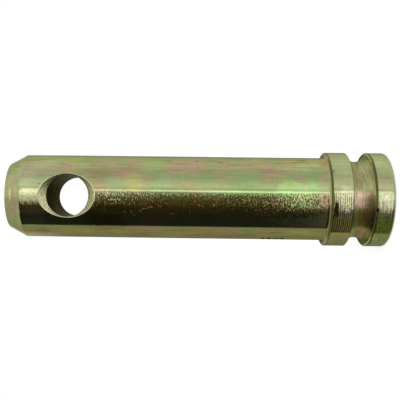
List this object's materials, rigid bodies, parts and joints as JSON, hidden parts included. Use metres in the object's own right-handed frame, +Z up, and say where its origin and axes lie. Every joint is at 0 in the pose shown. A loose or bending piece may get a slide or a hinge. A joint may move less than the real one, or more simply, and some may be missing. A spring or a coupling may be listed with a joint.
{
  "type": "hitch pin",
  "caption": "Turned steel hitch pin with a grooved collar head, a chamfered tip and a countersunk cross hole for a spring clip.",
  "frame": {"origin": "centre of the head's end face, where the pin stands", "axes": "+Z up the pin's axis from the head to the chamfered tip, +Y along the cross hole"},
  "size_m": [0.0288, 0.0288, 0.1151],
  "materials": {
    "plated_steel": "turned steel with iridescent yellow-green chromated zinc plating"
  },
  "bodies": {
    "root": {"pin": "plated_steel"}
  },
  "joints": []
}
